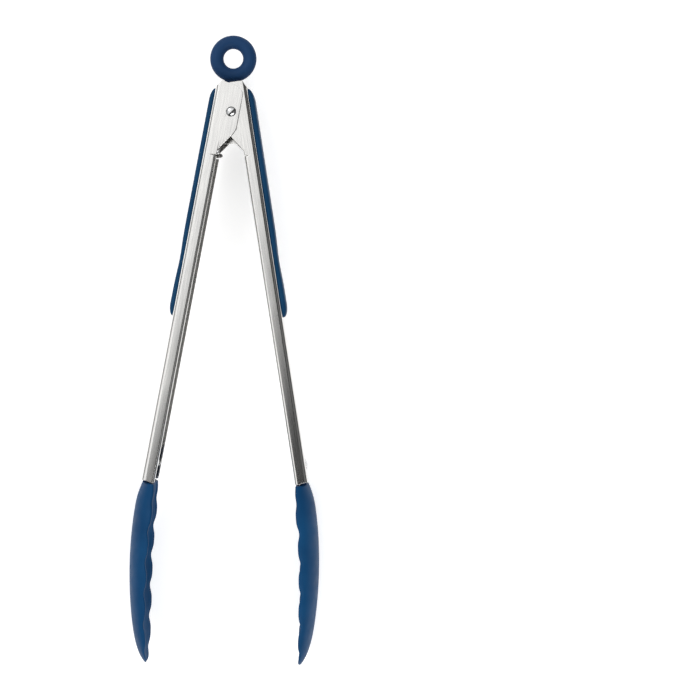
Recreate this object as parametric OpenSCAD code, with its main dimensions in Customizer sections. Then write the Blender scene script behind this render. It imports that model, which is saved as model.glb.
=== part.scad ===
/* [Arms] */
// Half of the angle between the two arms when the tongs stand open
open_angle = 9.75; // [8:0.25:11]
// Distance from the pivot to the lower end of each steel arm
arm_length = 183; // [170:1:195]
// Distance from the pivot out to the back of each arm
back_offset = 9.6; // [9.4:0.1:10.2]
// Thickness of the steel sheet
sheet = 0.9; // [0.7:0.1:1]
// Depth of the folded side of each arm, from the back inwards
side_depth = 6.6; // [6:0.1:7]
// Height of the left arm's channel, which holds the right arm's ears
channel_h = 26; // [24:0.5:28]
// Outer radius of the two long bends
bend_r = 2.2; // [1.4:0.1:2.4]
// Outer radius of the lip that is rolled in along each side's free edge
lip_r = 1.4; // [1.1:0.1:1.8]
// Height of that lip
lip_depth = 2; // [1.8:0.1:2.6]

/* [Pivot] */
// Radius of the rivet's shank
rivet_r = 1.8; // [1.6:0.1:2]
// Radius of the rivet's domed head
rivet_head_r = 2.45; // [2.3:0.05:2.8]
// Outer radius of the spacer sleeve
sleeve_r = 2.8; // [2.6:0.1:3]
// Diameter of the spring wire
wire_d = 1.4; // [1:0.1:1.4]
// Full turns in the spring
spring_turns = 4; // [3:1:4]

/* [Lock] */
// Radius of the pull ring, to the middle of its section
ring_r = 8.05; // [7.6:0.05:9]
// Radius of the ring's round section
ring_section_r = 3.3; // [3:0.1:3.5]
// Distance from the pivot to the middle of the ring when it is pushed in
ring_height = 27; // [26:0.5:28]
// Thickness of the lock strip
strip_t = 1.2; // [1:0.1:1.4]

/* [Grips] */
// Length of each grip
grip_length = 112; // [100:1:120]
// Width of each grip
grip_w = 21; // [18:0.5:22]
// Thickness of each grip
grip_t = 2.6; // [2.4:0.1:3]

/* [Heads] */
// Length of each head, from the steel to the tip
head_length = 87; // [80:0.5:90]
// Width of each head at its widest
head_w = 36; // [32:0.5:38]
// Thickness of the head's wall
head_t = 3.2; // [3:0.1:3.6]
// Distance between the scallops along each edge
scallop_pitch = 14.8; // [10:0.1:18]
// Depth of each scallop
scallop_d = 1; // [0.4:0.1:1.6]

/* [Hidden] */
$fn = 64;
eps = 0.01;

// The tongs lie flat: the pivot's axis is vertical and the ring points along +Y.
// The origin is under the middle of the whole object, on the surface it lies on.
mid_z = head_w / 2;
tip_reach = 267.5;
pivot_y = (tip_reach - ring_height - ring_r - ring_section_r) / 2;

// Running clearance of the rivet in its holes, and the washers between the ears
fit = 0.05;
washer_t = 0.4;
washer_r = 4;
washer_gap = 0.5;

// Half the height of each arm's channel. The right arm's ears fit between the left arm's.
left_half = channel_h / 2;
right_half = left_half - sheet - washer_gap;
arm_top = 11.5;
side_edge = back_offset - side_depth;
bend_steps = 6;
lip_cut = 0.4;

// The ears reach across the pivot, with a domed top that rises to a horn beside the bend and a
// slanted lower edge
ear_reach = 4;
ear_height = 13.3;
ear_dome_r = 9;
ear_dome_x = 3;
ear_horn_x = 2.2;
ear_horn_top = 14.2;
ear_low = 8;
ear_apex = [-2.3, -11.4];
ear_end = 19;
ear_overlap = 3;
notch = [2.6, -20.4];
notch_r = 1.05;

// Lock strip, in the middle of the channel. Its slot runs on the spacer sleeve.
slot_half = sleeve_r + 0.15;
slot_low = -11.2;
strip_half = slot_half + 1.9;
strip_low = -14.7;
wing_half = 6.2;
wing_low = -1.5;
wing_top = 4;
neck_half = 2.6;
neck_top = 15;

// Shank of the ring's core, slit for the neck of the strip and pinned to it
shank_half = 4;
shank_low = 8.5;
shank_t = 4.4;
core_section_r = 1.7;
pin_r = 1;
pin_y = 12;
hang_r = ring_r - ring_section_r + 0.15;

// Spring coil, between the strip and the front ears, and the ends of its legs
coil_r = sleeve_r + 0.3 + wire_d / 2;
coil_z = 2 + wire_d / 2;
coil_pitch = wire_d + 0.08;
coil_steps = 20;
wire_sides = 8;
leg_end = [12, -26];
hook_bend = 0.8;

// Grips and the stiff carriers inside them, held by studs through the steel
grip_start = -10;
grip_end_r = 6;
grip_steps = 60;
waist_u = 74;
waist_length = 9;
waist_depth = 0.5;
carrier_t = 1.1;
carrier_inset = 2.5;
stud_r = 1.8;
stud_head_r = 2.6;
stud_head_t = 0.8;
stud_places = [10, 46, 82];

// Heads. The wall is a curved band that narrows and closes at the tip.
head_gap = 0.7;
head_start = arm_length + head_gap;
head_root = left_half - 0.4;
tongue_start = 168;
tongue_half = 10;
tongue_t = 4.2;
band_points = 12;
cover_stations = 46;
pocket_stations = 20;
pocket_share = 0.8;
pocket_spread = 0.82;
collar_spread = 0.7;
core_t = 1.2;
rim_angle = 84;
tip_share = 0.996;
tip_crowding = 1.25;
head_rivet_u = 174.5;
head_rivet_r = 1.5;
head_rivet_head_r = 2.4;
head_rivet_z = 4.6;

// The head's back runs straight, then bends inwards and curls at the tip
back_rise = 1.4;
back_straight = 0.12;
back_drop = 15.4;
back_power = 1.9;
curl = 3.4;
curl_power = 14;

// Where along the head it is widest, where its outline starts to close, and how deep it is bowed
widest_share = 0.34;
closing_share = 0.68;
bow_depth = 8.9;
bow_share = 0.38;
wall_closing_share = 0.85;
rim_thinning = 0.45;

// The wall is thicker at the root, and set in there under the steel
root_t = 2.2;
root_start_share = 0.1;
root_run_share = 0.28;
root_set_in = 1.6;
root_set_in_share = 0.13;

// Scallops: where the first bump is, how sharp the notches are and how the waves fade
scallop_phase = 0.2;
scallop_sharpness = 0.22;
scallop_fade = 0.1;
scallop_power = 2.6;

function unit(v) = v / norm(v);
function smooth(x) = let (c = min(1, max(0, x))) c * c * (3 - 2 * c);

// Half of a round that starts at share start and closes at 1
function closing(f, start) = sqrt(max(0, 1 - pow(max(0, f - start) / (1 - start), 2)));

function ear_dome_top(x) = ear_height - ear_dome_r + sqrt(pow(ear_dome_r, 2) - pow(x - ear_dome_x, 2));

module at_pivot() translate([0, pivot_y, mid_z]) children();

// Places one arm's pieces. side is 1 for the right arm and -1 for the left arm.
// Inside, X points away from the middle, -Y runs down the arm and Z is measured from mid-height.
module on_arm(side)
    at_pivot()
        mirror([side < 0 ? 1 : 0, 0, 0])
            rotate([0, 0, open_angle])
                children();

// ---- Arms ----

function arc(center, r, a0, a1) =
    [for (i = [0 : bend_steps]) let (a = a0 + (a1 - a0) * i / bend_steps) center + r * [cos(a), sin(a)]];

// One side of the channel's section, from its lip to its back, inset from the outer surface
function side_line(half, inset) =
    concat(
        [[side_edge + inset, half - lip_depth]],
        arc([side_edge + lip_r, half - lip_r], lip_r - inset, 180, 90),
        arc([back_offset - bend_r, half - bend_r], bend_r - inset, 90, 0)
    );

function flipped(line) = [for (i = [len(line) - 1 : -1 : 0]) [line[i].x, -line[i].y]];

// The steel channel, a bent sheet with rolled lips
module channel(half) {
    outer = side_line(half, 0);
    inner = side_line(half, sheet);
    rotate([90, 0, 0])
        translate([0, 0, -arm_top])
            linear_extrude(arm_top + arm_length)
                polygon(concat(
                    outer, flipped(outer),
                    [for (i = [0 : len(inner) - 1]) [inner[i].x, -inner[i].y]],
                    [for (i = [len(inner) - 1 : -1 : 0]) inner[i]]
                ));
}

// Outline of an ear, seen along the pivot. The left arm's ears have a notch for the spring's hook.
module ear_outline(notched) {
    right = back_offset - bend_r;
    difference() {
        union() {
            intersection() {
                translate([ear_dome_x, ear_height - ear_dome_r]) circle(r = ear_dome_r);
                translate([-ear_reach, 0]) square([ear_reach + right, ear_height]);
            }
            polygon([
                [-ear_reach, ear_height - ear_dome_r], [-ear_reach, -ear_low], ear_apex,
                [side_edge, -ear_end], [side_edge, -ear_end - ear_overlap], [right, -ear_end - ear_overlap],
                [right, ear_horn_top], [ear_horn_x, ear_dome_top(ear_horn_x)]
            ]);
        }
        if (notched)
            translate(notch) circle(r = notch_r);
    }
}

module arm(side, half)
    color("gainsboro")
        on_arm(side)
            difference() {
                union() {
                    difference() {
                        channel(half);
                        translate([side_edge - 1, -ear_end - ear_overlap, -half - 1])
                            cube([1 + lip_r + lip_cut, arm_top + ear_end + ear_overlap + 1, 2 * half + 2]);
                    }
                    for (z = [-half, half - sheet])
                        translate([0, 0, z])
                            linear_extrude(sheet) ear_outline(side < 0);
                }
                cylinder(h = 4 * half, r = rivet_r + fit, center = true);
                for (u = stud_places)
                    translate([back_offset, -u, 0])
                        rotate([0, 90, 0]) cylinder(h = 4 * sheet, r = stud_r + fit, center = true);
                for (s = [-1, 1])
                    translate([back_offset, -head_rivet_u, s * head_rivet_z])
                        rotate([0, 90, 0]) cylinder(h = 4 * sheet, r = head_rivet_r + fit, center = true);
            }

module left_arm() arm(-1, left_half);
module right_arm() arm(1, right_half);

// ---- Pivot ----

// A domed rivet head that stands on Z = 0
module dome(r, h) {
    ball = (r * r + h * h) / (2 * h);
    intersection() {
        translate([0, 0, h - ball]) sphere(r = ball);
        cylinder(h = h, r = r);
    }
}

module pivot_rivet()
    color("silver")
        at_pivot() {
            cylinder(h = 2 * left_half, r = rivet_r, center = true);
            for (turn = [0, 180])
                rotate([turn, 0, 0]) translate([0, 0, left_half]) dome(rivet_head_r, 1.1);
        }

module spacer_sleeve()
    color("lightgray")
        at_pivot()
            difference() {
                cylinder(h = 2 * (right_half - sheet - fit), r = sleeve_r, center = true);
                cylinder(h = 2 * left_half, r = rivet_r + fit, center = true);
            }

module washer(side)
    color("ivory")
        at_pivot()
            translate([0, 0, side * (right_half + washer_gap / 2)])
                difference() {
                    cylinder(h = washer_t, r = washer_r, center = true);
                    cylinder(h = 2 * washer_t, r = rivet_r + fit, center = true);
                }

module front_washer() washer(1);
module back_washer() washer(-1);

// A round wire along a path. Each ring of points keeps its turn from the one before.
function tangent(path, i) = unit(path[min(i + 1, len(path) - 1)] - path[max(i - 1, 0)]);
function square_to(v, t) = unit(v - (v * t) * t);

module wire(path, r, start) {
    last = len(path) - 1;
    ups = [for (i = 0, up = square_to(start, tangent(path, 0)); i <= last;
        i = i + 1, up = i <= last ? square_to(up, tangent(path, i)) : up) up];
    rings = [for (i = [0 : last], k = [0 : wire_sides - 1])
        let (a = 360 * k / wire_sides)
        path[i] + r * (cos(a) * ups[i] + sin(a) * cross(tangent(path, i), ups[i]))];
    sides = [for (i = [0 : last - 1], k = [0 : wire_sides - 1])
        let (a = i * wire_sides + k, b = i * wire_sides + (k + 1) % wire_sides)
        each [[a, a + wire_sides, b], [b, a + wire_sides, b + wire_sides]]];
    caps = [
        [for (k = [0 : wire_sides - 1]) k],
        [for (k = [wire_sides - 1 : -1 : 0]) last * wire_sides + k]
    ];
    polyhedron(rings, concat(sides, caps));
}

// The coil turns round the sleeve. One end bears inside the right arm, and the other
// runs down inside the left arm and hooks up through the notch in its side.
coil_top = coil_z + coil_pitch * (spring_turns + 0.5);
coil_path = [for (i = [0 : (spring_turns + 0.5) * coil_steps])
    let (a = 360 * i / coil_steps)
    [coil_r * cos(a), coil_r * sin(a), coil_z + coil_pitch * i / coil_steps]];
hook = [
    -(notch.x * cos(open_angle) - notch.y * sin(open_angle)),
    notch.x * sin(open_angle) + notch.y * cos(open_angle)
];

module torsion_spring()
    color("dimgray")
        at_pivot()
            wire(
                concat(
                    [[leg_end.x, leg_end.y, coil_z]], coil_path,
                    [
                        [hook.x, hook.y + hook_bend, coil_top], [hook.x, hook.y, coil_top + hook_bend],
                        [hook.x, hook.y, left_half + hook_bend]
                    ]
                ),
                wire_d / 2, [0, 0, 1]
            );

// ---- Lock ----

module lock_strip()
    color("gainsboro")
        at_pivot()
            translate([0, 0, -strip_t / 2])
                difference() {
                    linear_extrude(strip_t)
                        polygon([
                            [-strip_half, strip_low], [strip_half, strip_low], [strip_half, wing_low - 1],
                            [wing_half, wing_low], [wing_half, wing_top], [neck_half + 1, wing_top + 2.5],
                            [neck_half, neck_top], [-neck_half, neck_top], [-neck_half - 1, wing_top + 2.5],
                            [-wing_half, wing_top], [-wing_half, wing_low], [-strip_half, wing_low - 1]
                        ]);
                    for (y = [slot_low + slot_half, 0])
                        translate([0, y, -eps]) cylinder(h = strip_t + 2 * eps, r = slot_half);
                    translate([-slot_half, slot_low + slot_half, -eps])
                        cube([2 * slot_half, -slot_low - slot_half, strip_t + 2 * eps]);
                    translate([0, pin_y, -eps]) cylinder(h = strip_t + 2 * eps, r = pin_r);
                }

module ring_section(r)
    translate([0, ring_height, 0])
        rotate_extrude() translate([ring_r, 0]) circle(r = r, $fn = 48);

module shank()
    translate([-shank_half, shank_low, -shank_t / 2])
        cube([2 * shank_half, ring_height - ring_r - shank_low, shank_t]);

module ring_core()
    color("midnightblue")
        at_pivot()
            difference() {
                union() {
                    ring_section(core_section_r);
                    shank();
                }
                translate([-neck_half - 2, shank_low - 1, -strip_t / 2])
                    cube([2 * (neck_half + 2), neck_top - shank_low + 1, strip_t]);
                translate([0, pin_y, 0]) cylinder(h = 2 * shank_t, r = pin_r, center = true);
            }

module pull_ring()
    color("midnightblue")
        at_pivot()
            difference() {
                ring_section(ring_section_r);
                ring_section(core_section_r);
                shank();
                translate([0, ring_height, 0]) cylinder(h = 3 * ring_section_r, r = hang_r, center = true);
            }

module ring_pin()
    color("silver")
        at_pivot() translate([0, pin_y, 0]) cylinder(h = shank_t, r = pin_r, center = true);

// ---- Grips ----

// Rise of the grip's back above the steel at distance u along the arm
function grip_rise(u) =
    let (d = min(u - grip_start, grip_start + grip_length - u, grip_end_r) / grip_end_r)
    (grip_t - waist_depth * exp(-pow((u - waist_u) / waist_length, 2))) * sqrt(max(0, 1 - pow(1 - d, 2)));

module grip_carrier(side)
    color("darkslateblue")
        on_arm(side) {
            translate([back_offset, -grip_start - grip_length + carrier_inset, carrier_inset - grip_w / 2])
                cube([carrier_t, grip_length - 2 * carrier_inset, grip_w - 2 * carrier_inset]);
            for (u = stud_places)
                translate([back_offset - sheet - stud_head_t, -u, 0])
                    rotate([0, 90, 0]) {
                        cylinder(h = stud_head_t + sheet + carrier_t, r = stud_r);
                        cylinder(h = stud_head_t, r = stud_head_r);
                    }
        }

module grip(side)
    color("steelblue")
        on_arm(side)
            difference() {
                translate([0, 0, -grip_w / 2])
                    linear_extrude(grip_w)
                        polygon([for (i = [0 : grip_steps])
                            let (u = grip_start + grip_length * (1 - cos(180 * i / grip_steps)) / 2)
                            [back_offset + grip_rise(u), -u]]);
                translate([back_offset - 1, -grip_start - grip_length + carrier_inset, carrier_inset - grip_w / 2])
                    cube([1 + carrier_t, grip_length - 2 * carrier_inset, grip_w - 2 * carrier_inset]);
            }

module left_grip_carrier() grip_carrier(-1);
module left_grip() grip(-1);
module right_grip_carrier() grip_carrier(1);
module right_grip() grip(1);

// ---- Heads ----
// f runs from 0 where the head meets the steel to 1 at its tip.

function head_back(f) =
    let (g = max(0, f - back_straight) / (1 - back_straight))
    back_offset + back_rise - back_drop * pow(g, back_power) - curl * pow(g, curl_power);

function head_half(f) =
    (head_root + (head_w / 2 - head_root) * smooth(f / widest_share)) * closing(f, closing_share);

function head_bow(f) = bow_depth * sqrt(max(0, 1 - pow((f - bow_share) / (1 - bow_share), 2)));

function head_wall(f) =
    (head_t + root_t * (1 - smooth((f - root_start_share) / root_run_share)))
    * closing(f, wall_closing_share);

function set_in(f) = root_set_in * pow(max(0, 1 - f / root_set_in_share), 2);

function scallop(f) =
    let (turn = 360 * (head_length * f - scallop_phase) / scallop_pitch)
    scallop_d / 2 * smooth(f / scallop_fade) * smooth((1 - f) / scallop_fade)
    * (cos(turn) - scallop_sharpness * cos(2 * turn));

// A point of the wall at station f. a is the angle across the band, from -rim_angle to
// rim_angle, and depth is the distance in from the back's surface, less where the rim is thinner.
function wall_point(f, a, depth) =
    let (
        bow = head_bow(f) / (1 - cos(rim_angle)),
        half = head_half(f) / sin(rim_angle),
        n = unit([bow * sin(a), half * cos(a)]),
        share = abs(a) / rim_angle,
        d = depth * (1 - rim_thinning * pow(share, 4)),
        x = head_back(f) - bow * (1 - cos(a)) - d * n[1]
    )
    [
        x - scallop(f) * pow(share, scallop_power) - set_in(f) * (1 - pow(share, 2)),
        -head_start - head_length * f,
        half * sin(a) - d * n[0]
    ];

// One closed loop round the band. margin keeps it inside the wall and spread narrows it.
function band_loop(f, margin, spread) =
    let (reach = rim_angle * spread, wall = head_wall(f))
    concat(
        [for (i = [0 : band_points - 1])
            wall_point(f, reach * (2 * i / (band_points - 1) - 1), margin)],
        [for (i = [band_points - 1 : -1 : 0])
            wall_point(f, reach * (2 * i / (band_points - 1) - 1), wall - margin)]
    );

loop_n = 2 * band_points;
pocket_margin = (head_t - core_t) / 2;
collar = [for (p = band_loop(0, pocket_margin, collar_spread)) p + [0, head_gap, 0]];
pocket_rings = [for (i = [0 : pocket_stations])
    band_loop(pocket_share * i / pocket_stations, pocket_margin, pocket_spread)];

// Faces between the loops from first to last. turn is 1 to face out of the loops and -1 to face in.
function skin(first, last, turn) =
    [for (i = [first : last - 1], k = [0 : loop_n - 1])
        let (
            a = i * loop_n + k, b = i * loop_n + (k + 1) % loop_n,
            c = a + loop_n, d = b + loop_n
        )
        each (turn > 0 ? [[a, b, c], [b, d, c]] : [[a, c, b], [b, c, d]])];

// The two walls of a loop's end, closed across the band
function end_cap(ring, turn) =
    [for (i = [0 : band_points - 2])
        let (a = ring * loop_n + i, b = a + 1, c = ring * loop_n + loop_n - 2 - i, d = c + 1)
        each (turn > 0 ? [[a, b, c], [a, c, d]] : [[a, c, b], [a, d, c]])];

module head_core(side)
    color("darkslateblue")
        on_arm(side)
            difference() {
                union() {
                    translate([back_offset - sheet - tongue_t, -head_start, -tongue_half])
                        cube([tongue_t - fit, head_start - tongue_start, 2 * tongue_half]);
                    polyhedron(
                        concat(collar, [for (r = pocket_rings) each r]),
                        concat(skin(0, pocket_stations + 1, -1), end_cap(0, 1), end_cap(pocket_stations + 1, -1))
                    );
                }
                for (s = [-1, 1])
                    translate([back_offset - sheet, -head_rivet_u, s * head_rivet_z])
                        rotate([0, 90, 0]) cylinder(h = 4 * tongue_t, r = head_rivet_r + fit, center = true);
            }

module head_cover(side)
    color("steelblue")
        on_arm(side) {
            outside = [for (i = [0 : cover_stations])
                each band_loop(tip_share * (1 - pow(1 - i / cover_stations, tip_crowding)), 0, 1)];
            first = cover_stations + 1;
            rim = [for (k = [0 : loop_n - 1])
                let (a = k, b = (k + 1) % loop_n, c = first * loop_n + a, d = first * loop_n + b)
                each [[a, b, c], [b, d, c]]];
            polyhedron(
                concat(outside, [for (r = pocket_rings) each r]),
                concat(
                    skin(0, cover_stations, -1), end_cap(cover_stations, -1),
                    rim, skin(first, first + pocket_stations, 1), end_cap(first + pocket_stations, 1)
                )
            );
        }

module head_rivets(side)
    color("silver")
        on_arm(side)
            for (s = [-1, 1])
                translate([back_offset, -head_rivet_u, s * head_rivet_z])
                    rotate([0, 90, 0]) {
                        translate([0, 0, -sheet - tongue_t]) cylinder(h = sheet + tongue_t, r = head_rivet_r);
                        dome(head_rivet_head_r, 0.8);
                        translate([0, 0, -sheet - tongue_t]) rotate([180, 0, 0]) dome(head_rivet_head_r, 0.8);
                    }

module left_head_core() head_core(-1);
module left_head_cover() head_cover(-1);
module left_head_rivets() head_rivets(-1);
module right_head_core() head_core(1);
module right_head_cover() head_cover(1);
module right_head_rivets() head_rivets(1);

pivot_rivet();
spacer_sleeve();
front_washer();
back_washer();
torsion_spring();
lock_strip();
ring_core();
pull_ring();
ring_pin();
left_arm();
left_grip_carrier();
left_grip();
left_head_core();
left_head_cover();
left_head_rivets();
right_arm();
right_grip_carrier();
right_grip();
right_head_core();
right_head_cover();
right_head_rivets();
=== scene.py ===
"""Spring-loaded kitchen tongs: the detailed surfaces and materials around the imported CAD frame."""

import math

import bmesh
import bpy
from mathutils import Matrix, Quaternion, Vector
from mathutils.geometry import delaunay_2d_cdt


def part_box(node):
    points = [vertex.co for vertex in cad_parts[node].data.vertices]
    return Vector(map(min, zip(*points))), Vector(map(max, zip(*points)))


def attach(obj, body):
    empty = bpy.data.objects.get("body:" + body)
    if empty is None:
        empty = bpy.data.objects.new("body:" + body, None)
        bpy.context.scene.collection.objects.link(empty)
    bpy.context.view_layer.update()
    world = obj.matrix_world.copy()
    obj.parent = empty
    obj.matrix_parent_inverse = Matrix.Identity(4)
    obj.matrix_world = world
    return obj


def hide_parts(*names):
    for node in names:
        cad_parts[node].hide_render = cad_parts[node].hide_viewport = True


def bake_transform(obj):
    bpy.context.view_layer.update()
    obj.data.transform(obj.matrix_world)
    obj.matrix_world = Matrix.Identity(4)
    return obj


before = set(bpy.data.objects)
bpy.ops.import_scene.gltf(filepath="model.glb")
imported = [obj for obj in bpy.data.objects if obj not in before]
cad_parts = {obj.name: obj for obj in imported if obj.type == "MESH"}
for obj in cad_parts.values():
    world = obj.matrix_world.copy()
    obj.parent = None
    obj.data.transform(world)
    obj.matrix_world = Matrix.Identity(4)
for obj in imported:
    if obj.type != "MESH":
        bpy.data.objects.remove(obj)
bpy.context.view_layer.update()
scene = bpy.context.scene

# ---- Driving dimensions, in millimetres and degrees, as the CAD has them ----

MM = 0.001
SIDE = {"left": -1, "right": 1}
OPEN_ANGLE = 9.75

# Arms: half heights of the nested channels, the back's distance from the middle, and the bends.
HALF = {"left": 13.0, "right": 11.6}
ARM_LENGTH, ARM_TOP = 183.0, 11.5
BACK, SHEET, SIDE_DEPTH = 9.6, 0.9, 6.6
BEND_R, LIP_R, LIP_DEPTH = 2.2, 1.4, 2.0
RIVET_HOLE_R, STUD_HOLE_R, HEAD_RIVET_HOLE_R = 1.85, 1.85, 1.55
STUD_PLACES = (10, 46, 82)
HEAD_RIVET_U, HEAD_RIVET_Z = 174.5, 4.6

# Grips: the pad on each arm's back.
GRIP_START, GRIP_LENGTH, GRIP_W, GRIP_T = -10.0, 112.0, 21.0, 2.6
GRIP_END_RUN, GRIP_NARROWING, GRIP_SHOULDER, GRIP_CROWN_SHARE = 6.0, 1.1, 1.5, 0.12
WAIST_DEPTH, WAIST_U, WAIST_RUN = 0.5, 74, 9

# Heads: shares are of the head's length from its root to its tip.
HEAD_START, HEAD_LENGTH, HEAD_W, HEAD_ROOT = ARM_LENGTH + 0.7, 87.0, 36.0, 12.6
BACK_RISE, BACK_STRAIGHT, BACK_DROP, BACK_POWER = 1.4, 0.12, 15.4, 1.9
CURL, CURL_POWER = 3.4, 14
WIDEST_SHARE, CLOSING_SHARE, WALL_CLOSING_SHARE = 0.34, 0.68, 0.85
BOW_DEPTH, BOW_SHARE = 8.9, 0.38
WALL_T, ROOT_T, ROOT_START, ROOT_RUN = 3.2, 2.2, 0.1, 0.28
ROOT_SET_IN, ROOT_SET_IN_SHARE = 1.6, 0.13
CORNER_RISE, CORNER_SHARE = 0.3, 0.1
RIM_ANGLE, RIM_THINNING, THINNING_POWER = 84.0, 0.45, 4
SCALLOP_PITCH, SCALLOP_D, SCALLOP_PHASE = 14.8, 1.0, 0.2
SCALLOP_SHARPNESS, SCALLOP_POWER, FADE_IN, FADE_OUT = 0.22, 2.6, 0.16, 0.1
FLUTE_D, FLUTE_START, FLUTE_RUN = 0.75, 0.3, 0.4

# Ring: its centre's height above the pivot.
RING_HEIGHT, RING_R, RING_SECTION_R = 27.0, 8.05, 3.3

rivet_low, rivet_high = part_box("pivot_rivet")
PIVOT = (rivet_low + rivet_high) / 2


def arm_matrix(name):
    """From an arm's own axes to the row frame. X points away from the middle, -Y runs down the arm."""
    return Matrix.Translation(PIVOT) @ Matrix.Rotation(math.radians(SIDE[name] * OPEN_ANGLE), 4, "Z")


# ---- Small mesh tools ----


def new_object(name, points, faces, matrix, mirror=1):
    """A mesh object from points in millimetres, placed by matrix. mirror is -1 for the left arm."""
    mesh = bpy.data.meshes.new(name)
    mesh.from_pydata([(mirror * p[0] * MM, p[1] * MM, p[2] * MM) for p in points], [], faces)
    bm = bmesh.new()
    bm.from_mesh(mesh)
    bmesh.ops.recalc_face_normals(bm, faces=bm.faces)
    bm.to_mesh(mesh)
    bm.free()
    mesh.transform(matrix)
    mesh.shade_smooth()
    obj = bpy.data.objects.new(name, mesh)
    scene.collection.objects.link(obj)
    return obj


def add_modifier(obj, kind, **settings):
    modifier = obj.modifiers.new(kind.title(), kind)
    for key, value in settings.items():
        setattr(modifier, key, value)


def soften_edges(obj, width, segments=3, angle=40, even=False):
    """Rounds the crisp edges and keeps the flat faces flat in the shading. Even rounding has the same
    width all along, also where the mesh has short edges."""
    add_modifier(
        obj, "BEVEL", width=width * MM, segments=segments, limit_method="ANGLE",
        angle_limit=math.radians(angle), miter_outer="MITER_ARC", use_clamp_overlap=not even,
        loop_slide=not even,
    )
    add_modifier(obj, "WEIGHTED_NORMAL", keep_sharp=False, weight=60)


def dress(obj, material, body, slot, *replaced):
    """Material, body and the CAD nodes that a piece stands for. The slot argument is not used."""
    obj.data.materials.append(material)
    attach(obj, body)
    if replaced:
        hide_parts(*replaced)


def loft(name, rings, matrix, mirror=1, wrap=False):
    """A skin over equal closed rings of points, with flat ends or, with wrap, joined into a loop."""
    count = len(rings[0])
    faces = []
    for i in range(len(rings) if wrap else len(rings) - 1):
        first, second = i * count, (i + 1) % len(rings) * count
        for k in range(count):
            m = (k + 1) % count
            faces.append((first + k, first + m, second + m, second + k))
    if not wrap:
        faces += [tuple(range(count)), tuple(range((len(rings) - 1) * count, len(rings) * count))]
    return new_object(name, [p for ring in rings for p in ring], faces, matrix, mirror)


def smooth_step(x):
    """0 below 0 and 1 above 1, with a soft rise between them."""
    x = min(1.0, max(0.0, x))
    return x * x * (3 - 2 * x)


def fillet(points, steps=6, shortest=0.3):
    """A closed outline with its corners rounded. Each point is (x, y, radius). A short arc has fewer
    steps, each of about the shortest length."""
    outline = []
    for i, (x, y, r) in enumerate(points):
        corner = Vector((x, y))
        before = Vector(points[i - 1][:2]) - corner
        after = Vector(points[(i + 1) % len(points)][:2]) - corner
        turn = before.angle(after)
        reach = r / math.tan(turn / 2) if r else 0
        if reach < 1e-6 or abs(turn - math.pi) < 1e-3:
            outline.append((x, y))
            continue
        reach = min(reach, 0.49 * before.length, 0.49 * after.length)
        r = reach * math.tan(turn / 2)
        a, b = before.normalized(), after.normalized()
        middle = corner + (a + b).normalized() * (r / math.sin(turn / 2))
        start = corner + a * reach - middle
        sweep = start.angle_signed(corner + b * reach - middle)
        parts = max(1, min(steps, round(r * abs(sweep) / shortest)))
        for k in range(parts + 1):
            angle = -sweep * k / parts
            outline.append((
                middle.x + start.x * math.cos(angle) - start.y * math.sin(angle),
                middle.y + start.x * math.sin(angle) + start.y * math.cos(angle),
            ))
    return outline


def arc_points(x, y, r, first, last, steps):
    """Points of an arc round (x, y), from the angle first to the angle last in degrees."""
    return [
        (x + r * math.cos(math.radians(first + (last - first) * k / steps)),
         y + r * math.sin(math.radians(first + (last - first) * k / steps)))
        for k in range(steps + 1)
    ]


def inside(point, outline):
    """Whether a point is inside a closed outline."""
    x, y = point
    found = False
    for i, (x2, y2) in enumerate(outline):
        x1, y1 = outline[i - 1]
        if (y1 > y) != (y2 > y) and x < x1 + (y - y1) * (x2 - x1) / (y2 - y1):
            found = not found
    return found


def flat_blank(outline, holes, columns, rows):
    """A flat sheet cut to an outline with holes, divided along columns and rows: points and faces."""
    points, edges = [], []

    def add_loop(loop):
        start = len(points)
        points.extend(Vector(p) for p in loop)
        edges.extend((start + k, start + (k + 1) % len(loop)) for k in range(len(loop)))

    add_loop(outline)
    for hole in holes:
        add_loop(hole)
    low = [min(p[i] for p in outline) - 1 for i in (0, 1)]
    high = [max(p[i] for p in outline) + 1 for i in (0, 1)]
    lines = [((x, low[1]), (x, high[1])) for x in columns]
    lines += [((low[0], y), (high[0], y)) for y in rows]
    for a, b in lines:
        edges.append((len(points), len(points) + 1))
        points.extend((Vector(a), Vector(b)))
    cut_points, _, faces, _, _, _ = delaunay_2d_cdt(points, edges, [], 4, 1e-5)
    kept = []
    for face in faces:
        x = sum(cut_points[i].x for i in face) / len(face)
        y = sum(cut_points[i].y for i in face) / len(face)
        if inside((x, y), outline) and not any(inside((x, y), hole) for hole in holes):
            kept.append(tuple(face))
    used = {i: n for n, i in enumerate(sorted({i for face in kept for i in face}))}
    return [tuple(cut_points[i]) for i in used], [tuple(used[i] for i in face) for face in kept]


# ---- Materials ----


def srgb(r, g, b):
    """An sRGB colour of 0 to 255 as linear RGBA."""
    def channel(value):
        value /= 255
        return value / 12.92 if value <= 0.04045 else ((value + 0.055) / 1.055) ** 2.4
    return (channel(r), channel(g), channel(b), 1)


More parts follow.
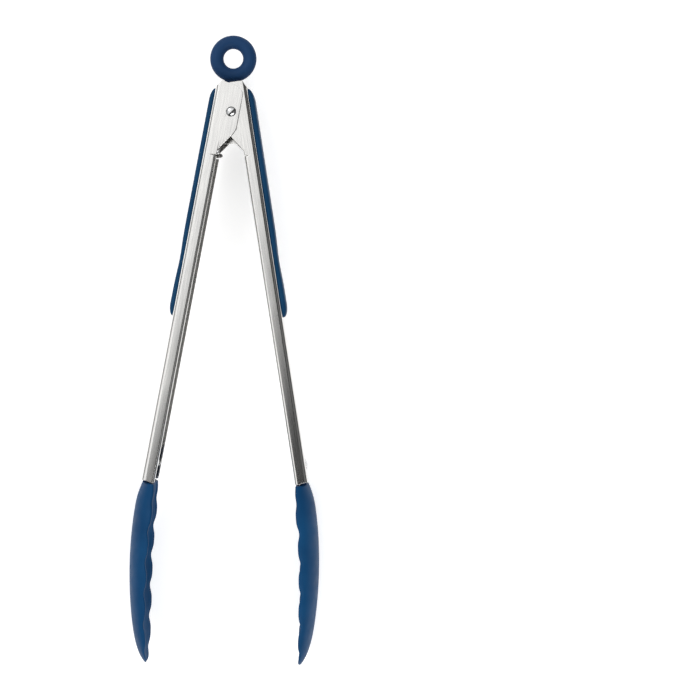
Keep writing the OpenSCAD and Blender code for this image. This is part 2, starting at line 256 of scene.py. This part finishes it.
class Nodes:
    """Short calls for building the node tree of a material or a world."""

    def __init__(self, owner, coordinates="Object"):
        owner.use_nodes = True
        self.owner = owner
        self.tree = owner.node_tree
        self.place = self.add("ShaderNodeTexCoord").outputs[coordinates]

    def add(self, kind, inputs=None, **settings):
        node = self.tree.nodes.new(kind)
        for key, value in settings.items():
            setattr(node, key, value)
        for key, value in (inputs or {}).items():
            if isinstance(value, bpy.types.NodeSocket):
                self.tree.links.new(value, node.inputs[key])
            else:
                node.inputs[key].default_value = value
        return node

    def noise(self, scale, detail=2.0, roughness=0.5, stretch=(1, 1, 1)):
        place = self.add("ShaderNodeMapping", {"Vector": self.place, "Scale": stretch}).outputs[0]
        return self.add(
            "ShaderNodeTexNoise",
            {"Vector": place, "Scale": scale, "Detail": detail, "Roughness": roughness},
        ).outputs["Fac"]

    def spread(self, value, low, high, start=0.3, end=0.7):
        """value from start to end, spread over low to high."""
        return self.add(
            "ShaderNodeMapRange",
            {"Value": value, "From Min": start, "From Max": end, "To Min": low, "To Max": high},
        ).outputs[0]

    def mix(self, factor, a, b):
        """A colour between a and b."""
        return self.add("ShaderNodeMix", {0: factor, 6: a, 7: b}, data_type="RGBA").outputs[2]

    def bump(self, height, distance, strength=1.0, below=None):
        inputs = {"Height": height, "Distance": distance, "Strength": strength}
        if below is not None:
            inputs["Normal"] = below
        return self.add("ShaderNodeBump", inputs).outputs[0]

    def finish(self, **sockets):
        """Sets or links the shader's sockets and gives back the material."""
        shader = self.tree.nodes["Principled BSDF"]
        for key, value in sockets.items():
            socket = shader.inputs[key.replace("_", " ")]
            if isinstance(value, bpy.types.NodeSocket):
                self.tree.links.new(value, socket)
            else:
                socket.default_value = value
        return self.owner


def material_nodes(name):
    return Nodes(bpy.data.materials.new(name))


def brushed_steel(name, angle):
    """Stainless sheet, ground along the arm: fine long scratches over slow changes of shine."""
    n = material_nodes(name)
    n.place = n.add(
        "ShaderNodeMapping", {"Vector": n.place, "Rotation": (0, 0, math.radians(-angle))},
    ).outputs[0]
    grain = n.noise(2600, 3, 0.6, stretch=(1, 0.03, 1))
    streak = n.noise(620, 2, 0.5, stretch=(1, 0.02, 1))
    cloud = n.noise(40, 3, 0.55, stretch=(1, 0.3, 1))
    base = n.mix(n.spread(cloud, 0, 1), srgb(224, 223, 221), srgb(236, 235, 232))
    colour = n.mix(n.spread(grain, 0.0, 0.28), base, srgb(168, 169, 172))
    shine = n.add(
        "ShaderNodeMath",
        {0: n.spread(grain, 0.12, 0.17), 1: n.spread(streak, -0.012, 0.012)},
        operation="ADD",
    ).outputs[0]
    return n.finish(
        Base_Color=colour, Roughness=shine, Metallic=1.0, Normal=n.bump(grain, 0.000006, 0.3),
    )


def polished_steel():
    """Headed and tumbled rivet steel: bright, with faint rings of smears."""
    n = material_nodes("polished_steel")
    smear = n.noise(700, 3, 0.6)
    return n.finish(
        Base_Color=n.mix(n.spread(smear, 0, 1), srgb(222, 222, 222), srgb(196, 198, 200)),
        Roughness=n.spread(smear, 0.07, 0.17), Metallic=1.0, Normal=n.bump(smear, 0.00001, 0.3),
    )


def spring_steel():
    """Drawn wire, a little darker than the sheet, with lengthwise marks."""
    n = material_nodes("spring_wire")
    drawn = n.noise(1500, 2, 0.5, stretch=(1, 1, 0.3))
    cloud = n.noise(160, 2)
    return n.finish(
        Base_Color=n.mix(n.spread(cloud, 0, 1), srgb(214, 214, 214), srgb(188, 189, 192)),
        Roughness=n.spread(drawn, 0.2, 0.4), Metallic=1.0, Normal=n.bump(drawn, 0.00002, 0.4),
    )


def moulded(name, deep, pale, roughness, speck):
    """A moulded plastic or rubber: slow colour drift, fine pores and a soft uneven shine."""
    n = material_nodes(name)
    drift = n.noise(45, 3, 0.5)
    pores = n.noise(speck, 3, 0.6)
    swirl = n.noise(220, 2, 0.5)
    texture = n.bump(pores, 0.00004, 0.35)
    return n.finish(
        Base_Color=n.mix(n.spread(drift, 0, 1), deep, pale),
        Roughness=n.spread(swirl, roughness - 0.05, roughness + 0.07), Specular_IOR_Level=0.09,
        Normal=n.bump(swirl, 0.00006, 0.25, texture),
    )


STEEL = {name: brushed_steel(f"brushed_steel_{name}", SIDE[name] * OPEN_ANGLE) for name in SIDE}
STRIP_STEEL = brushed_steel("brushed_steel_strip", 0)
POLISHED = polished_steel()
WIRE = spring_steel()
SILICONE = moulded("blue_silicone", srgb(12, 62, 104), srgb(20, 73, 117), 0.48, 2600)
SOFT_GRIP = moulded("blue_soft_grip", srgb(14, 58, 92), srgb(24, 68, 104), 0.52, 3400)
RING_BLUE = moulded("blue_ring_rubber", srgb(24, 56, 94), srgb(34, 66, 106), 0.5, 3000)
NYLON = moulded("navy_nylon", srgb(10, 34, 64), srgb(16, 42, 74), 0.36, 1800)
WASHER = moulded("washer_plastic", srgb(206, 204, 196), srgb(222, 220, 212), 0.42, 1800)

# ---- Arms: a flat blank, bent up with its ears and rolled lips ----

# MID is a bend's radius to the middle of the sheet, and RUN is a length across the flat blank.
SIDE_EDGE = BACK - SIDE_DEPTH
BEND_MID = BEND_R - SHEET / 2
LIP_MID = LIP_R - SHEET / 2
BEND_RUN = math.pi / 2 * BEND_MID
LIP_RUN = math.pi / 2 * LIP_MID
FLANGE_RUN = BACK - BEND_R - SIDE_EDGE - LIP_R

# The ears' outline, as (w, height above the pivot). The apex is low between the arms, and the horn is
# beside the ring.
EAR_LIP_V = -22.0
SLIT = 0.2
EAR_REACH, EAR_LOW = -4.0, -8.0
APEX = (-2.3, -11.4)
EAR_END = -19.0
NOTCH, NOTCH_R = (2.6, -20.4), 1.05
DOMES = {"left": (3.0, 4.3, 9.0), "right": (2.6, 4.8, 9.5)}
HORN = (7.4, 14.2)
END_BULGE = 0.8


def blank_outline(half, dome_at, has_notch):
    """Half of the arm's blank, from its lower end up to its top, as corners with radii. X is the run
    across the sheet from the back's middle, and Y runs up the arm from the pivot. dome_at is the ear's
    dome as (w, height, radius)."""
    bend_end = half - BEND_R + BEND_RUN
    lip_end = bend_end + FLANGE_RUN + LIP_RUN + LIP_DEPTH - LIP_R

    def across(w):
        return bend_end + BACK - BEND_R - w

    middle, reach = (bend_end + lip_end) / 2, (lip_end - bend_end) / 2
    end = [
        (x, -ARM_LENGTH + END_BULGE * ((x - middle) / reach) ** 2)
        for x in [bend_end + 2 * reach * k / 8 for k in range(1, 8)]
    ]
    notch_in = math.degrees(math.acos((SIDE_EDGE - NOTCH[0]) / NOTCH_R))
    notch = [
        (across(x), y) for x, y in arc_points(*NOTCH, NOTCH_R, -notch_in, -360 + notch_in, 14)
    ]
    dome_start = 180 - math.degrees(math.acos((dome_at[0] - EAR_REACH) / dome_at[2]))
    dome = [(across(x), y) for x, y in arc_points(*dome_at, dome_start, 95, 16)]
    corners = [(x, y, 0) for x, y in end]
    corners += [
        (lip_end, -ARM_LENGTH + 1.0, 0.8), (lip_end, EAR_LIP_V - SLIT, 0.5),
        (across(SIDE_EDGE + LIP_R + 0.4), EAR_LIP_V - SLIT, 0.15),
        (across(SIDE_EDGE + LIP_R + 0.4), EAR_LIP_V + SLIT, 0.15),
        (across(SIDE_EDGE), EAR_LIP_V + SLIT, 0.25),
    ]
    if has_notch:
        corners += [(x, y, 0) for x, y in notch]
    corners += [
        (across(SIDE_EDGE), EAR_END, 1.2), (across(APEX[0]), APEX[1], 0.7),
        (across(EAR_REACH), EAR_LOW, 2.5), (dome[0][0], dome[0][1], 1.6),
    ]
    corners += [(x, y, 0) for x, y in dome[1:]]
    corners += [
        (across(HORN[0]), HORN[1], 0.4), (across(BACK - BEND_R + 1), ARM_TOP, 0.6),
        (half - BEND_R, ARM_TOP, 0),
    ]
    return corners


def bent(point, half):
    """Where a point of the blank is on the bent arm, in the middle of the sheet."""
    run, v = point
    t, sign = abs(run), math.copysign(1, run)
    flat = half - BEND_R
    if t <= flat:
        w, z = BACK - SHEET / 2, t
    elif t <= flat + BEND_RUN:
        turn = (t - flat) / BEND_MID
        w, z = BACK - BEND_R + BEND_MID * math.cos(turn), flat + BEND_MID * math.sin(turn)
    else:
        side = t - flat - BEND_RUN
        w, z = BACK - BEND_R - side, half - SHEET / 2
        if v < EAR_LIP_V and side > FLANGE_RUN:
            turn = min((side - FLANGE_RUN) / LIP_MID, math.pi / 2)
            w = SIDE_EDGE + LIP_R - LIP_MID * math.sin(turn)
            z = half - LIP_R + LIP_MID * math.cos(turn) - max(0, side - FLANGE_RUN - LIP_RUN)
    return (w, v, sign * z)


def circle_loop(x, y, r, steps=32):
    """A hole's closed outline."""
    return arc_points(x, y, r, 0, 360 - 360 / steps, steps - 1)


def build_arm(name):
    """One arm: the blank is cut and divided, bent point by point, then given its thickness."""
    half = HALF[name]
    flat = half - BEND_R
    right = blank_outline(half, DOMES[name], name == "left")
    corners = right + [(-x, y, r) for x, y, r in reversed(right)]
    outline = fillet(corners)
    rivet_run = flat + BEND_RUN + BACK - BEND_R
    holes = [circle_loop(s * rivet_run, 0, RIVET_HOLE_R) for s in (-1, 1)]
    holes += [circle_loop(0, -u, STUD_HOLE_R) for u in STUD_PLACES]
    holes += [circle_loop(s * HEAD_RIVET_Z, -HEAD_RIVET_U, HEAD_RIVET_HOLE_R) for s in (-1, 1)]
    lip_start = flat + BEND_RUN + FLANGE_RUN
    across = [flat * k / 4 for k in range(5)]
    across += [flat + BEND_RUN * k / 9 for k in range(1, 10)]
    across += [lip_start + LIP_RUN * k / 8 for k in range(9)]
    columns = sorted({round(s * x, 5) for x in across for s in (-1, 1)})
    rows = [EAR_LIP_V] + [EAR_LIP_V - 8 * k for k in range(1, 20)] + [-14, -7, 0, 7]
    points, faces = flat_blank(outline, holes, columns, rows)
    bent_points = [bent(p, half) for p in points]
    obj = new_object(f"{name}_arm_sheet", bent_points, faces, arm_matrix(name), SIDE[name])
    add_modifier(obj, "SOLIDIFY", thickness=SHEET * MM, offset=0, use_even_offset=True, use_rim=True)
    soften_edges(obj, 0.18, segments=3, angle=55, even=True)
    dress(obj, STEEL[name], f"{name}_arm", "steel", f"{name}_arm")


# ---- Grips: soft pads with rounded shoulders and a shallow waist ----


def grip_rise(u):
    """The pad's thickness at u: round at both ends, with a waist."""
    from_end = min(u - GRIP_START, GRIP_START + GRIP_LENGTH - u, GRIP_END_RUN) / GRIP_END_RUN
    waist = WAIST_DEPTH * math.exp(-(((u - WAIST_U) / WAIST_RUN) ** 2))
    return (GRIP_T - waist) * math.sqrt(max(0, 1 - (1 - from_end) ** 2))


def grip_ring(u, height):
    """One section of the pad: flat on the steel, crowned outside, with round shoulders."""
    half = GRIP_W / 2
    shoulder = min(GRIP_SHOULDER, 0.75 * height)
    half_here = half - GRIP_NARROWING * (1 - min(1.0, math.sqrt(height / GRIP_T)))
    crown = GRIP_CROWN_SHARE * height
    clearance = 0.01
    ring = [(BACK + clearance, -u, half_here * s) for s in (-1, -0.5, 0, 0.5, 1)]
    top = height - crown
    for x, z in arc_points(top - shoulder, half_here - shoulder, shoulder, 90, 0, 8):
        ring.append((BACK + x, -u, z))
    for k in range(1, 10):
        z = (half_here - shoulder) * (1 - 2 * k / 10)
        ring.append((BACK + top + crown * (1 - (z / (half_here - shoulder)) ** 2), -u, z))
    for x, z in arc_points(top - shoulder, half_here - shoulder, shoulder, 0, 90, 8):
        ring.append((BACK + x, -u, -z))
    return ring


def build_grip(name):
    """The pad over its sections, which lie closer together toward both ends."""
    stations, end_share, thinnest = 84, 0.0004, 0.12
    rings = []
    for i in range(stations + 1):
        share = (1 - math.cos(math.pi * i / stations)) / 2
        u = GRIP_START + GRIP_LENGTH * min(1 - end_share, max(end_share, share))
        rings.append(grip_ring(u, max(thinnest, grip_rise(u))))
    obj = loft(f"{name}_grip_pad", rings, arm_matrix(name), SIDE[name])
    dress(obj, SOFT_GRIP, f"{name}_arm", "soft_grip", f"{name}_grip")


# ---- Heads: a scooped silicone skin with scalloped rims and a thick root ----


def closing(f, start):
    """1 up to the station start, then an elliptical drop to 0 at the tip."""
    return math.sqrt(max(0, 1 - (max(0, f - start) / (1 - start)) ** 2))


def head_back(f):
    """The outer face's distance from the middle, along the head's centre line."""
    g = max(0, f - BACK_STRAIGHT) / (1 - BACK_STRAIGHT)
    return BACK + BACK_RISE - BACK_DROP * g**BACK_POWER - CURL * g**CURL_POWER


def head_half(f):
    widening = HEAD_ROOT + (HEAD_W / 2 - HEAD_ROOT) * smooth_step(f / WIDEST_SHARE)
    return widening * closing(f, CLOSING_SHARE)


def head_bow(f):
    """How deep the scoop's section bows."""
    return BOW_DEPTH * math.sqrt(max(0, 1 - ((f - BOW_SHARE) / (1 - BOW_SHARE)) ** 2))


def head_wall(f):
    root = ROOT_T * (1 - smooth_step((f - ROOT_START) / ROOT_RUN))
    return (WALL_T + root) * closing(f, WALL_CLOSING_SHARE)


def scallop_fade(f):
    return smooth_step(f / FADE_IN) * smooth_step((1 - f) / FADE_OUT)


def scallop(f):
    """Round bumps with narrower notches between them."""
    turn = 2 * math.pi * (HEAD_LENGTH * f - SCALLOP_PHASE) / SCALLOP_PITCH
    return scallop_fade(f) * (math.cos(turn) - SCALLOP_SHARPNESS * math.cos(2 * turn))


def head_frame(f, angle):
    """A point of the outer face at station f, with its inward normal and its direction to the rim."""
    rim = math.radians(RIM_ANGLE)
    bow = head_bow(f) / (1 - math.cos(rim))
    half = head_half(f) / math.sin(rim)
    point = Vector((head_back(f) - bow * (1 - math.cos(angle)), half * math.sin(angle)))
    normal = Vector((-half * math.cos(angle), -bow * math.sin(angle))).normalized()
    along = Vector((-bow * math.sin(angle), half * math.cos(angle))).normalized()
    return point, normal, along


def head_ring(f):
    """One closed section: a wall that thins toward its round rims, fluted between the scallops."""
    rim = math.radians(RIM_ANGLE)
    wall = head_wall(f)
    rim_wall = wall * (1 - RIM_THINNING)
    outer_r, inner_r = 0.34 * rim_wall, 0.5 * rim_wall
    count = 26
    wave = scallop(f)
    set_in = ROOT_SET_IN * max(0, 1 - f / ROOT_SET_IN_SHARE) ** 2
    corner = CORNER_RISE * max(0, 1 - f / CORNER_SHARE) ** 2

    def at(angle, depth, beyond=0.0):
        """depth is the share of the wall from its outer face, and beyond is how far past the rim."""
        side, share = math.copysign(1, angle), abs(angle) / rim
        point, normal, along = head_frame(f, angle)
        inward = depth * wall * (1 - RIM_THINNING * share**THINNING_POWER)
        p = point + normal * inward + along * beyond * side
        near_rim = smooth_step((share - FLUTE_START) / FLUTE_RUN)
        flute = FLUTE_D / 2 * (scallop_fade(f) - wave) * near_rim
        dip = SCALLOP_D / 2 * wave * share**SCALLOP_POWER
        x = p.x - dip - set_in * (1 - share**2) + corner * share**2
        return (x, -HEAD_START - HEAD_LENGTH * f, p.y - side * flute)

    outside = [at(rim * (2 * k / count - 1), 0) for k in range(count + 1)]
    inside_face = [at(rim * (1 - 2 * k / count), 1) for k in range(count + 1)]
    turn_out = arc_points(0, outer_r, outer_r, -90, 0, 6)[1:]
    turn_in = arc_points(outer_r - inner_r, rim_wall - inner_r, inner_r, 0, 90, 6)[:-1]
    edge = [(x, d / rim_wall) for x, d in turn_out + turn_in]
    upper = [at(rim, d, x) for x, d in edge]
    lower = [at(-rim, d, x) for x, d in reversed(edge)]
    return outside + upper + inside_face + lower


def build_head(name):
    """The skin over its sections, which lie closer together toward the tip and end just before it."""
    stations, tip = 120, 0.9975
    rings = []
    for i in range(stations + 1):
        f = 1 - (1 - i / stations) ** 1.25
        rings.append(head_ring(min(f, tip)))
    obj = loft(f"{name}_head_skin", rings, arm_matrix(name), SIDE[name])
    dress(obj, SILICONE, f"{name}_arm", "silicone", f"{name}_head_cover")


# ---- Turned pieces ----


def turned(name, profile, matrix, steps=64):
    """A closed profile of (radius, height) turned round Z. Points on the axis are shared."""
    points, faces, rows = [], [], []
    for r, z in profile:
        if r < 1e-6:
            rows.append([len(points)] * steps)
            points.append((0, 0, z))
            continue
        rows.append(list(range(len(points), len(points) + steps)))
        points += [
            (r * math.cos(2 * math.pi * k / steps), r * math.sin(2 * math.pi * k / steps), z)
            for k in range(steps)
        ]
    for a, b in zip(rows, rows[1:]):
        for k in range(steps):
            m = (k + 1) % steps
            face = [a[k], a[m], b[m], b[k]]
            faces.append(tuple(dict.fromkeys(face)))
    return new_object(name, points, [f for f in faces if len(f) > 2], matrix)


def dome_profile(r, height, edge, steps=14):
    """Half of a domed head's profile, from its rim at height 0 to its top."""
    ball = (r * r + (height - edge) ** 2) / (2 * (height - edge))
    reach = math.degrees(math.asin(r / ball))
    dome = arc_points(0, height - ball, ball, 90 - reach, 90, steps)
    return [(r, 0)] + [(max(0, x), y) for x, y in dome]


def rivet_profile(head_r, rise, edge, shank_r, high, low):
    """A rivet's profile from its upper dome to its lower one. The heads sit at the heights high and low."""
    dome = dome_profile(head_r, rise, edge)
    neck = 0.02
    upper = [(x, high + y) for x, y in reversed(dome)]
    lower = [(x, low - y) for x, y in dome]
    return upper + [(shank_r, high - neck), (shank_r, low + neck)] + lower


def build_pivot_rivet():
    half = HALF["left"]
    profile = rivet_profile(2.45, 1.1, 0.12, 1.8, half, -half)
    obj = turned("pivot_rivet_headed", profile, Matrix.Translation(PIVOT))
    soften_edges(obj, 0.06, 2, 50)
    dress(obj, POLISHED, "pivot", "polished_steel", "pivot_rivet")


def build_head_rivets(name):
    """Two rivets through the arm's back, in one piece of two solids."""
    grip = SHEET + 4.2
    profile = rivet_profile(2.4, 0.8, 0.1, 1.5, 0, -grip)
    turn = Matrix.Rotation(SIDE[name] * math.pi / 2, 4, "Y")
    both = bmesh.new()
    for s in (-1, 1):
        place = Matrix.Translation((SIDE[name] * BACK * MM, -HEAD_RIVET_U * MM, s * HEAD_RIVET_Z * MM))
        rivet = turned(f"{name}_head_rivet_pair", profile, arm_matrix(name) @ place @ turn, 40)
        both.from_mesh(rivet.data)
        if s < 0:
            bpy.data.objects.remove(rivet)
    both.to_mesh(rivet.data)
    both.free()
    rivet.data.shade_smooth()
    soften_edges(rivet, 0.06, 2, 50)
    dress(rivet, POLISHED, f"{name}_arm", "polished_steel", f"{name}_head_rivets")


# ---- Pull ring: a soft round ring ----


def build_ring():
    around, section = 128, 40
    rings = []
    for i in range(around):
        a = 2 * math.pi * i / around
        ring = []
        for k in range(section):
            b = 2 * math.pi * k / section
            reach = RING_R + RING_SECTION_R * math.cos(b)
            y = RING_HEIGHT + reach * math.sin(a)
            ring.append((reach * math.cos(a), y, RING_SECTION_R * math.sin(b)))
        rings.append(ring)
    obj = loft("pull_ring_soft", rings, Matrix.Translation(PIVOT), wrap=True)
    dress(obj, RING_BLUE, "lock", "soft_grip", "pull_ring")


# ---- Spring: a wound coil with one leg in each arm ----

WIRE_R, COIL_R, COIL_Z, COIL_PITCH, COIL_TURNS = 0.7, 3.8, 2.7, 1.48, 4.5
LEG_END = (12.0, -26.0)


def tube(name, path, matrix, r=WIRE_R, sides=14):
    """A round wire along a path, with rounded ends."""
    path = [Vector(p) for p in path]
    rings = []
    up = Vector((0, 0, 1))
    last = len(path) - 1
    for i, p in enumerate(path):
        along = (path[min(i + 1, last)] - path[max(i - 1, 0)]).normalized()
        up = (up - along * up.dot(along)).normalized()
        across = along.cross(up)
        circle = [
            up * math.cos(2 * math.pi * k / sides) + across * math.sin(2 * math.pi * k / sides)
            for k in range(sides)
        ]
        if i == 0:
            rings.append([p - along * 0.3 * r + c * 0.6 * r for c in circle])
        rings.append([p + c * r for c in circle])
        if i == last:
            rings.append([p + along * 0.3 * r + c * 0.6 * r for c in circle])
    return loft(name, rings, matrix)


def rounded_path(corners, radius, steps=6):
    """A path in space with its inner corners rounded."""
    corners = [Vector(c) for c in corners]
    path = [corners[0]]
    for before, corner, after in zip(corners, corners[1:], corners[2:]):
        a, b = (before - corner), (after - corner)
        reach = min(radius, 0.45 * a.length, 0.45 * b.length)
        start, end = corner + a.normalized() * reach, corner + b.normalized() * reach
        for k in range(steps + 1):
            t = k / steps
            path.append(start * (1 - t) ** 2 + corner * 2 * t * (1 - t) + end * t**2)
    return path + [corners[-1]]


def build_spring():
    """A coil round the sleeve, with a leg toward each arm: the right one lies in the channel, and
    the left one hooks up through the notch."""
    place = Matrix.Translation(PIVOT)
    steps = 32
    total = int(COIL_TURNS * steps)
    coil = [
        (COIL_R * math.cos(2 * math.pi * i / steps), COIL_R * math.sin(2 * math.pi * i / steps),
         COIL_Z + COIL_PITCH * i / steps)
        for i in range(total + 1)
    ]
    top = coil[-1][2]
    angle = math.radians(OPEN_ANGLE)
    hook_x = -(NOTCH[0] * math.cos(angle) - NOTCH[1] * math.sin(angle))
    hook_y = NOTCH[0] * math.sin(angle) + NOTCH[1] * math.cos(angle)
    hook_top = HALF["left"] + 0.8
    coil_end, leg_start, bend_end = -1.6, -1.5, -14.0
    path = [(COIL_R, coil_end, COIL_Z)] + coil + [(-COIL_R, coil_end, top)]
    dress(tube("spring_coil", path, place), WIRE, "pivot", "spring_steel", "torsion_spring")

    def leg(name, corners, piece_length=1.2):
        """A leg: a wire along its corners, cut into pieces of about piece_length."""
        path = []
        for a, b in zip(corners, corners[1:]):
            a, b = Vector(a), Vector(b)
            pieces = max(1, int((b - a).length / piece_length))
            path += [a.lerp(b, k / pieces) for k in range(pieces)]
        path.append(Vector(corners[-1]))
        obj = tube(name, path, place)
        obj.data.materials.append(WIRE)
        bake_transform(obj)

    straight = [(COIL_R, leg_start, COIL_Z), (*LEG_END, COIL_Z)]
    hook = [(-COIL_R, leg_start, top), (hook_x, hook_y, top), (hook_x, hook_y, hook_top)]
    leg("spring_right_leg", straight)
    leg("spring_left_leg", rounded_path(hook, 1.3))


# ---- Lock strip and the pieces that stay as the CAD has them ----


def build_lock_strip():
    """A flat plate with wings, a slot for the sleeve and a hole for the ring's pin."""
    slot_half, slot_low = 2.95, -11.2
    half, strip_low, neck, neck_top = 4.85, -14.7, 2.6, 15.0
    wing, wing_low, wing_top = 6.2, -1.5, 4.0
    pin_height, pin_hole_r, thickness = 12, 1.02, 1.2
    side = [
        (half, strip_low, 0.6), (half, wing_low - 1, 0.5), (wing, wing_low, 0.4), (wing, wing_top, 0.5),
        (neck + 1, wing_top + 2.5, 0.8), (neck, neck_top, 0.4),
    ]
    outline = fillet(side + [(-x, y, r) for x, y, r in reversed(side)])
    slot_loop = arc_points(0, 0, slot_half, 0, 180, 20)
    slot_loop += arc_points(0, slot_low + slot_half, slot_half, 180, 360, 20)
    holes = [slot_loop, circle_loop(0, pin_height, pin_hole_r, 24)]
    points, faces = flat_blank(outline, holes, [0], [-8, 0, 8])
    flat_points = [(x, y, 0) for x, y in points]
    obj = new_object("lock_strip_plate", flat_points, faces, Matrix.Translation(PIVOT))
    add_modifier(obj, "SOLIDIFY", thickness=thickness * MM, offset=0, use_rim=True)
    soften_edges(obj, 0.12, 2, 55)
    dress(obj, STRIP_STEEL, "lock", "steel", "lock_strip")


def dress_cad(node, material, width):
    """A CAD node that keeps its shape, with its edges eased."""
    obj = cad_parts[node]
    obj.data.materials.clear()
    obj.data.materials.append(material)
    soften_edges(obj, width, 2, 50)


for arm_name in SIDE:
    build_arm(arm_name)
    build_grip(arm_name)
    build_head(arm_name)
    build_head_rivets(arm_name)
    dress_cad(f"{arm_name}_head_core", NYLON, 0.2)
    dress_cad(f"{arm_name}_grip_carrier", NYLON, 0.15)
build_pivot_rivet()
build_ring()
build_spring()
build_lock_strip()
dress_cad("ring_core", NYLON, 0.25)
dress_cad("ring_pin", POLISHED, 0.15)
dress_cad("spacer_sleeve", STRIP_STEEL, 0.1)
dress_cad("front_washer", WASHER, 0.06)
dress_cad("back_washer", WASHER, 0.06)

# ---- Stage: pale floor, soft lights and the camera ----


def floor_material():
    """Nearly white, with some light of its own so that it stays as pale as the photo's ground."""
    n = material_nodes("pale_floor")
    cloud = n.noise(3, 3)
    return n.finish(
        Base_Color=n.mix(n.spread(cloud, 0, 1), (0.86, 0.86, 0.86, 1), (0.88, 0.88, 0.88, 1)),
        Roughness=n.spread(cloud, 0.7, 0.8), Emission_Color=(1, 1, 1, 1), Emission_Strength=0.5,
    )


def build_floor():
    """A square just below the surface that the tongs lie on, so that nothing touches it."""
    reach, gap = 3.0, 0.0004
    mesh = bpy.data.meshes.new("floor")
    corners = [(-reach, -reach, 0), (reach, -reach, 0), (reach, reach, 0), (-reach, reach, 0)]
    mesh.from_pydata(corners, [], [(0, 1, 2, 3)])
    obj = bpy.data.objects.new("floor", mesh)
    scene.collection.objects.link(obj)
    obj.location.z = -gap
    mesh.materials.append(floor_material())


def add_softbox(name, place, target, size, power, turn=0):
    """A rectangular light of size metres at place, aimed at target and turned about its aim."""
    light = bpy.data.lights.new(name, "AREA")
    light.shape = "RECTANGLE"
    light.size, light.size_y = size
    light.energy = power
    obj = bpy.data.objects.new(name, light)
    scene.collection.objects.link(obj)
    obj.location = place
    obj.rotation_mode = "QUATERNION"
    aim = (Vector(target) - Vector(place)).to_track_quat("-Z", "Y")
    obj.rotation_quaternion = aim @ Quaternion((0, 0, 1), math.radians(turn))


def build_world():
    """A soft studio: a pale sky toward the left and the ring, a dark one toward the right and the tips,
    and dusk at the horizon."""
    n = Nodes(bpy.data.worlds.new("studio"), "Generated")
    pale_side = Vector((-0.69, 0.72, 0)).normalized()
    toward = n.add("ShaderNodeVectorMath", {0: n.place, 1: pale_side}, operation="DOT_PRODUCT")
    ramp = n.add("ShaderNodeValToRGB", {0: n.spread(toward.outputs["Value"], 0, 1, -1, 1)})
    # Straight up is at 0.5, where the sky turns from dark to pale.
    first, last = ramp.color_ramp.elements
    first.position, last.position = 0.05, 0.53
    first.color = (0.3, 0.3, 0.3, 1)
    for position, value in ((0.36, 0.12), (0.45, 0.015), (0.495, 0.015)):
        ramp.color_ramp.elements.new(position).color = (value, value, value, 1)
    height = n.add("ShaderNodeSeparateXYZ", {0: n.place}).outputs["Z"]
    dusk = n.spread(height, 0.06, 1.17, 0.1, 0.75)
    strength = n.add("ShaderNodeMath", {0: ramp.outputs[0], 1: dusk}, operation="MULTIPLY").outputs[0]
    background = n.tree.nodes["Background"]
    background.inputs["Color"].default_value = (1, 1, 1, 1)
    n.tree.links.new(strength, background.inputs["Strength"])
    scene.world = n.owner


def build_camera():
    """Nearly straight down from one metre, with the tongs to the left of the frame's middle."""
    camera = bpy.data.objects.new("camera", bpy.data.cameras.new("camera"))
    scene.collection.objects.link(camera)
    camera.data.sensor_width = 36
    camera.data.lens = 105.3
    camera.data.shift_x, camera.data.shift_y = 0.0266, -0.0584
    camera.data.clip_start, camera.data.clip_end = 0.05, 20
    camera.location = PIVOT + Vector((0.050, -0.0944, 1.0))
    camera.rotation_euler = (0, 0, math.radians(1.0))
    scene.camera = camera


build_floor()
build_world()
add_softbox("key", place=(-0.8, 0.95, 1.1), target=(0, 0, 0), size=(0.9, 0.7), power=6, turn=20)
add_softbox("fill", place=(0.35, -0.75, 0.95), target=(0, -0.1, 0), size=(1.1, 0.35), power=7)
build_camera()
scene.view_settings.view_transform = "Standard"
